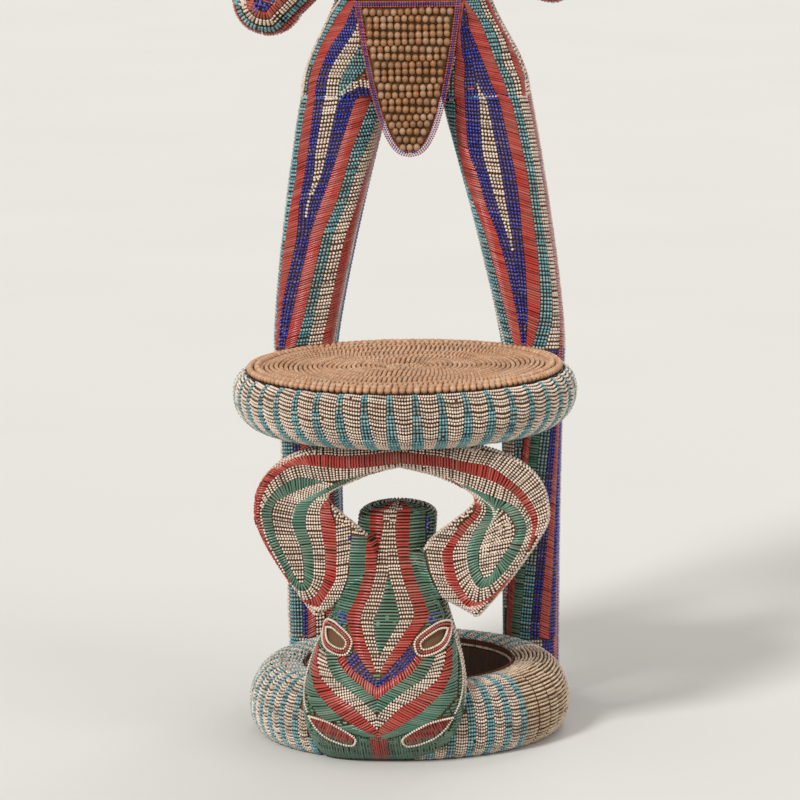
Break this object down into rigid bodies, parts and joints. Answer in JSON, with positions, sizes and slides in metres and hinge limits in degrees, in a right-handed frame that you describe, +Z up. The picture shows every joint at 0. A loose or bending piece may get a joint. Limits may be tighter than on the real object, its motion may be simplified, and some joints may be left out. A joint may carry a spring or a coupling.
{
  "type": "throne",
  "caption": "Beaded throne with a round seat carried by an arched buffalo head on a ring base, and a standing figure with an apron as its back.",
  "frame": {"origin": "on the floor, under the middle of the throne's overall box", "axes": "+X to the viewer's right from the front, +Y towards the back, +Z up"},
  "size_m": [0.3755, 0.4018, 1.2096],
  "materials": {
    "carved_wood": "matte",
    "beaded_cloth": "beaded",
    "striped_cloth": "beaded",
    "seed_beads": "satin",
    "edging_beads": "satin"
  },
  "bodies": {
    "root": {"base_ring": "carved_wood", "buffalo_head": "carved_wood", "horn_left": "carved_wood", "horn_right": "carved_wood", "seat_disc": "carved_wood", "leg_left": "carved_wood", "leg_right": "carved_wood", "torso": "carved_wood", "arm_left": "carved_wood", "arm_right": "carved_wood", "figure_head": "carved_wood", "head_cover": "beaded_cloth", "horn_cover_left": "beaded_cloth", "horn_cover_right": "beaded_cloth", "leg_cover_left": "beaded_cloth", "leg_cover_right": "beaded_cloth", "torso_cover": "beaded_cloth", "arm_cover_left": "beaded_cloth", "arm_cover_right": "beaded_cloth", "cap": "beaded_cloth", "seat_rim_cover": "striped_cloth", "ring_cover": "striped_cloth", "seat_mat": "seed_beads", "seat_edge_string": "seed_beads", "apron": "seed_beads", "eye_rim_left": "edging_beads", "eye_rim_right": "edging_beads", "nostril_rim_left": "edging_beads", "nostril_rim_right": "edging_beads", "apron_border": "edging_beads", "belt": "edging_beads"}
  },
  "joints": []
}
